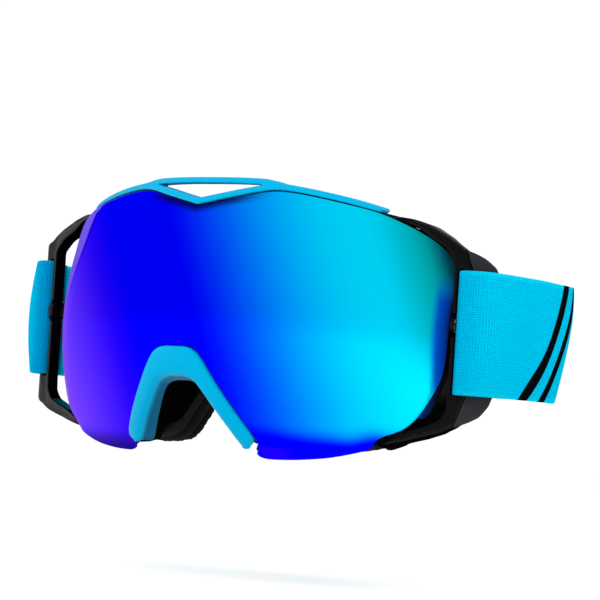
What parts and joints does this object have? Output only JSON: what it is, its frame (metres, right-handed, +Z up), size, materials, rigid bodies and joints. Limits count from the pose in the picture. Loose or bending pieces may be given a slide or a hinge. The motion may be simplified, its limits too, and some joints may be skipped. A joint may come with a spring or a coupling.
{
  "type": "ski goggles",
  "caption": "Ski goggles with a curved mirrored double lens, cyan brow trim and nose arch, open black side outriggers, layered face foam and an adjustable elastic strap.",
  "frame": {"origin": "middle of the face seal's curve, on the symmetry plane, at the strap's mid height", "axes": "+X to the wearer's left, +Y back through the wearer's head, so the lens faces -Y, and +Z up"},
  "size_m": [0.1862, 0.1663, 0.0921],
  "materials": {
    "chassis_black": "satin moulded black",
    "trim_cyan": "satin cyan moulding",
    "lens_mirror": "blue mirror coating that turns cyan and violet",
    "rim_black": "matt black",
    "gasket": "closed-cell foam rubber",
    "inner_lens": "clear smoke, polished",
    "outrigger_black": "gloss black",
    "pin_steel": "plain",
    "button_black": "gloss black",
    "foam_firm": "firm open-cell foam",
    "foam_soft": "soft open-cell foam",
    "fleece": "brushed fleece",
    "vent_foam": "open-cell filter foam",
    "slider_black": "moulded black",
    "strap_elastic": "woven elastic, cyan"
  },
  "bodies": {
    "frame": {"chassis": "chassis_black", "brow_trim": "trim_cyan", "nose_arch": "trim_cyan", "hinge_pins_left": "pin_steel", "hinge_pins_right": "pin_steel", "foam_base": "foam_firm", "foam_middle": "foam_soft", "face_fleece": "fleece", "top_vent_foam": "vent_foam", "bottom_vent_foam": "vent_foam", "strap_side_left": "strap_elastic", "strap_side_right": "strap_elastic", "strap_rear": "strap_elastic"},
    "lens": {"outer_lens": "lens_mirror", "lens_rim": "rim_black", "lens_gasket": "gasket", "inner_lens": "inner_lens"},
    "left_outrigger": {"outrigger_left": "outrigger_black", "strap_loop_left": "strap_elastic"},
    "right_outrigger": {"outrigger_right": "outrigger_black", "strap_loop_right": "strap_elastic"},
    "left_button": {"release_button_left": "button_black"},
    "right_button": {"release_button_right": "button_black"},
    "left_slider": {"slider_left": "slider_black", "strap_tail_left": "strap_elastic"},
    "right_slider": {"slider_right": "slider_black", "strap_tail_right": "strap_elastic"}
  },
  "joints": [
    {"name": "lens_slide", "type": "slide", "parent": "frame", "child": "lens", "axis": [0, -1, 0], "range_m": [0, 0.025]},
    {"name": "left_outrigger_hinge", "type": "hinge", "parent": "frame", "child": "left_outrigger", "pos_m": [0.06, -0.0032, 0], "axis": [0, 0, 1], "range_deg": [-2, 8]},
    {"name": "right_outrigger_hinge", "type": "hinge", "parent": "frame", "child": "right_outrigger", "pos_m": [-0.06, -0.0032, 0], "axis": [0, 0, -1], "range_deg": [-2, 8]},
    {"name": "left_button_press", "type": "slide", "parent": "left_outrigger", "child": "left_button", "axis": [-1, 0, 0], "range_m": [0, 0.0008]},
    {"name": "right_button_press", "type": "slide", "parent": "right_outrigger", "child": "right_button", "axis": [1, 0, 0], "range_m": [0, 0.0008]},
    {"name": "left_slider_travel", "type": "slide", "parent": "frame", "child": "left_slider", "axis": [1, 0, 0], "range_m": [-0.007, 0.007]},
    {"name": "right_slider_travel", "type": "slide", "parent": "frame", "child": "right_slider", "axis": [-1, 0, 0], "range_m": [-0.007, 0.007]}
  ]
}
